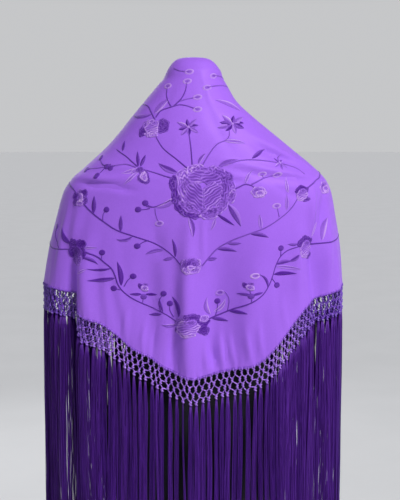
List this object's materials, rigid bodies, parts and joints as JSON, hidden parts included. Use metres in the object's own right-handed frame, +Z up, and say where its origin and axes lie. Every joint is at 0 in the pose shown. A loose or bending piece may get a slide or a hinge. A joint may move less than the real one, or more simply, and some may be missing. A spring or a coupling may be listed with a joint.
{
  "type": "flamenco shawl on dress form",
  "caption": "Triangular embroidered shawl with a knotted net edge and long fringe, draped over a limbless dress form on a round stand.",
  "frame": {"origin": "centre of the stand base's underside, on the floor", "axes": "+Z up along the pole; -Y towards the shawl's embroidered back, which the picture shows; +X to the right in that view"},
  "size_m": [0.4916, 0.38, 1.475],
  "materials": {
    "crepe": "violet silk crepe with a soft sheen",
    "net": "knotted silk thread",
    "fringe": "loose silk thread with a sheen",
    "jersey": "black jersey cover",
    "cap": "satin black",
    "steel": "satin black powder coat"
  },
  "bodies": {
    "root": {"shawl_cloth": "crepe", "macrame_net_left": "net", "macrame_net_right": "net", "fringe_left": "fringe", "fringe_right": "fringe", "form_body": "jersey", "form_neck_cap": "cap", "stand_flange": "steel", "stand_pole": "steel", "stand_collar": "steel", "stand_base": "steel"}
  },
  "joints": []
}
